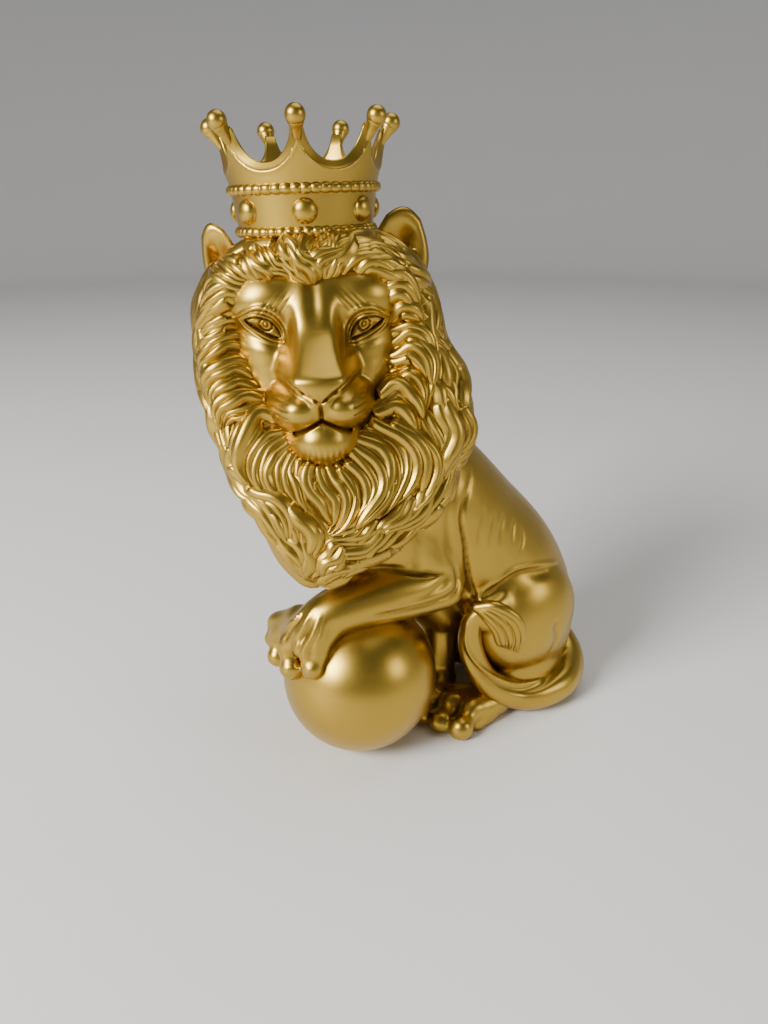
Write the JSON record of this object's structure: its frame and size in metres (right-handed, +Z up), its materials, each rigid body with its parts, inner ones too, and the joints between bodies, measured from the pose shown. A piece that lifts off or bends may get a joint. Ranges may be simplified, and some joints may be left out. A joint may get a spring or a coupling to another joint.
{
  "type": "lion statue",
  "caption": "Seated gold lion figurine wearing an open crown, head turned to the viewer, one forepaw resting on a ball, tail curled round its haunch.",
  "frame": {"origin": "centre of the bounding box's underside, on the surface that the statue stands on", "axes": "+Z up through the crown; the face looks along -Y, the rump lies towards +X"},
  "size_m": [0.1653, 0.1167, 0.24],
  "materials": {
    "gold": "satin metallic gold paint over a resin casting"
  },
  "bodies": {
    "root": {"lion_statue": "gold"}
  },
  "joints": []
}
